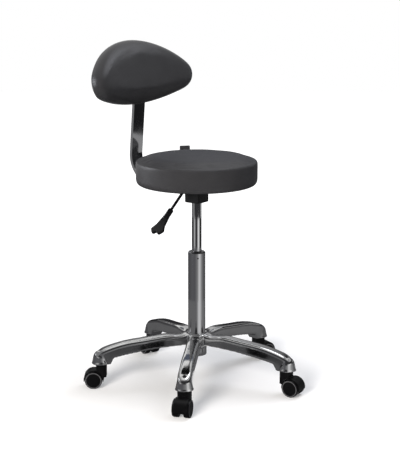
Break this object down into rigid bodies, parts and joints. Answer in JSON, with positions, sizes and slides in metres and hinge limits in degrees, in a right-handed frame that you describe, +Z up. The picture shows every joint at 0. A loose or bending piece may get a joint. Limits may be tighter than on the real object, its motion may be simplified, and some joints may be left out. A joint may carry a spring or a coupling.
{
  "type": "rolling stool with backrest",
  "caption": "Rolling stool: round padded seat on a gas column, cast star base on casters, curved padded backrest on a flat bent bar, with height and backrest levers.",
  "frame": {"origin": "on the floor, on the column's axis", "axes": "+Z up, the sitter faces -Y, the backrest is towards +Y, the sitter's right is -X"},
  "size_m": [0.63, 0.6311, 0.9809],
  "materials": {
    "polished_aluminium": "polished",
    "chrome_tube": "chromed",
    "chrome_bar": "chromed",
    "black_plastic": "moulded",
    "black_nylon": "moulded",
    "wheel_nylon": "moulded",
    "black_steel": "black paint",
    "zinc_steel": "zinc plated",
    "bearing_steel": "ground",
    "bumper_rubber": "moulded",
    "plywood": "bare",
    "seat_vinyl": "soft grain",
    "pad_vinyl": "soft grain"
  },
  "bodies": {
    "base": {"star_base": "polished_aluminium", "column_tube": "chrome_tube", "guide_bush": "black_plastic", "bearing_lower_race": "bearing_steel"},
    "spindle": {"piston_rod": "bearing_steel", "piston": "black_plastic", "bearing_upper_race": "bearing_steel", "bearing_balls": "bearing_steel", "rod_clip": "zinc_steel", "bumper": "bumper_rubber"},
    "seat": {"pressure_tube": "chrome_tube", "rod_guide": "black_plastic", "mount_plate": "black_steel", "socket_box": "black_steel", "seat_board": "plywood", "seat_cushion": "seat_vinyl", "seat_bolts": "zinc_steel", "seat_tee_nuts": "zinc_steel", "lift_pin": "zinc_steel", "hinge_pin": "zinc_steel"},
    "lift_lever": {"lift_rod": "black_steel", "lift_paddle": "black_plastic"},
    "release": {"release_pin": "zinc_steel"},
    "lock_lever": {"lock_rod": "black_steel", "lock_paddle": "black_plastic"},
    "back": {"back_arm": "black_steel", "back_bar": "chrome_bar", "bar_bolts": "zinc_steel", "bar_nuts": "zinc_steel", "back_board": "plywood", "pad_bolts": "zinc_steel", "back_pad": "pad_vinyl"},
    "caster_1": {"caster_1_hood": "black_nylon", "caster_1_stem": "zinc_steel", "caster_1_axle": "zinc_steel"},
    "caster_1_wheel_left": {"caster_1_wheel_left": "wheel_nylon"},
    "caster_1_wheel_right": {"caster_1_wheel_right": "wheel_nylon"},
    "caster_2": {"caster_2_hood": "black_nylon", "caster_2_stem": "zinc_steel", "caster_2_axle": "zinc_steel"},
    "caster_2_wheel_left": {"caster_2_wheel_left": "wheel_nylon"},
    "caster_2_wheel_right": {"caster_2_wheel_right": "wheel_nylon"},
    "caster_3": {"caster_3_hood": "black_nylon", "caster_3_stem": "zinc_steel", "caster_3_axle": "zinc_steel"},
    "caster_3_wheel_left": {"caster_3_wheel_left": "wheel_nylon"},
    "caster_3_wheel_right": {"caster_3_wheel_right": "wheel_nylon"},
    "caster_4": {"caster_4_hood": "black_nylon", "caster_4_stem": "zinc_steel", "caster_4_axle": "zinc_steel"},
    "caster_4_wheel_left": {"caster_4_wheel_left": "wheel_nylon"},
    "caster_4_wheel_right": {"caster_4_wheel_right": "wheel_nylon"},
    "caster_5": {"caster_5_hood": "black_nylon", "caster_5_stem": "zinc_steel", "caster_5_axle": "zinc_steel"},
    "caster_5_wheel_left": {"caster_5_wheel_left": "wheel_nylon"},
    "caster_5_wheel_right": {"caster_5_wheel_right": "wheel_nylon"}
  },
  "joints": [
    {"name": "seat_swivel", "type": "hinge", "parent": "base", "child": "spindle", "pos_m": [0, 0, 0.09], "axis": [0, 0, 1], "continuous": true},
    {"name": "seat_height", "type": "slide", "parent": "spindle", "child": "seat", "axis": [0, 0, 1], "range_m": [-0.13, 0.07]},
    {"name": "lift_lever", "type": "hinge", "parent": "seat", "child": "lift_lever", "pos_m": [-0.032, 0, 0.5715], "axis": [0, 1, 0], "range_deg": [0, 8], "stiffness_Nm_per_rad": 6, "springref_deg": -5.73},
    {"name": "release_pin", "type": "slide", "parent": "seat", "child": "release", "axis": [0, 0, -1], "range_m": [0, 0.0048]},
    {"name": "lock_lever", "type": "hinge", "parent": "seat", "child": "lock_lever", "pos_m": [0.0434, 0.04, 0.564], "axis": [-1, 0, 0], "range_deg": [0, 30]},
    {"name": "back_tilt", "type": "hinge", "parent": "seat", "child": "back", "pos_m": [0, 0.04, 0.564], "axis": [-1, 0, 0], "range_deg": [0, 16]},
    {"name": "caster_1_swivel", "type": "hinge", "parent": "base", "child": "caster_1", "pos_m": [0.04976, -0.27656, 0.064], "axis": [0, 0, 1], "continuous": true},
    {"name": "caster_1_wheel_left", "type": "hinge", "parent": "caster_1", "child": "caster_1_wheel_left", "pos_m": [0.05081, -0.29653, 0.025], "axis": [0.9986, 0.0523, 0], "continuous": true},
    {"name": "caster_1_wheel_right", "type": "hinge", "parent": "caster_1", "child": "caster_1_wheel_right", "pos_m": [0.05081, -0.29653, 0.025], "axis": [0.9986, 0.0523, 0], "continuous": true},
    {"name": "caster_2_swivel", "type": "hinge", "parent": "base", "child": "caster_2", "pos_m": [0.2784, -0.03814, 0.064], "axis": [0, 0, 1], "continuous": true},
    {"name": "caster_2_wheel_left", "type": "hinge", "parent": "caster_2", "child": "caster_2_wheel_left", "pos_m": [0.29653, -0.04659, 0.025], "axis": [0.4226, 0.9063, 0], "continuous": true},
    {"name": "caster_2_wheel_right", "type": "hinge", "parent": "caster_2", "child": "caster_2_wheel_right", "pos_m": [0.29653, -0.04659, 0.025], "axis": [0.4226, 0.9063, 0], "continuous": true},
    {"name": "caster_3_swivel", "type": "hinge", "parent": "base", "child": "caster_3", "pos_m": [0.1223, 0.25299, 0.064], "axis": [0, 0, 1], "continuous": true},
    {"name": "caster_3_wheel_left", "type": "hinge", "parent": "caster_3", "child": "caster_3_wheel_left", "pos_m": [0.13012, 0.2714, 0.025], "axis": [-0.9205, 0.3907, 0], "continuous": true},
    {"name": "caster_3_wheel_right", "type": "hinge", "parent": "caster_3", "child": "caster_3_wheel_right", "pos_m": [0.13012, 0.2714, 0.025], "axis": [-0.9205, 0.3907, 0], "continuous": true},
    {"name": "caster_4_swivel", "type": "hinge", "parent": "base", "child": "caster_4", "pos_m": [-0.20281, 0.19449, 0.064], "axis": [0, 0, 1], "continuous": true},
    {"name": "caster_4_wheel_left", "type": "hinge", "parent": "caster_4", "child": "caster_4_wheel_left", "pos_m": [-0.21429, 0.21088, 0.025], "axis": [-0.8192, -0.5736, 0], "continuous": true},
    {"name": "caster_4_wheel_right", "type": "hinge", "parent": "caster_4", "child": "caster_4_wheel_right", "pos_m": [-0.21429, 0.21088, 0.025], "axis": [-0.8192, -0.5736, 0], "continuous": true},
    {"name": "caster_5_swivel", "type": "hinge", "parent": "base", "child": "caster_5", "pos_m": [-0.24765, -0.13279, 0.064], "axis": [0, 0, 1], "continuous": true},
    {"name": "caster_5_wheel_left", "type": "hinge", "parent": "caster_5", "child": "caster_5_wheel_left", "pos_m": [-0.26644, -0.13963, 0.025], "axis": [0.342, -0.9397, 0], "continuous": true},
    {"name": "caster_5_wheel_right", "type": "hinge", "parent": "caster_5", "child": "caster_5_wheel_right", "pos_m": [-0.26644, -0.13963, 0.025], "axis": [0.342, -0.9397, 0], "continuous": true}
  ],
  "couplings": [
    {"joint": "release_pin", "follows": "lift_lever", "m_per_rad": 0.034}
  ]
}
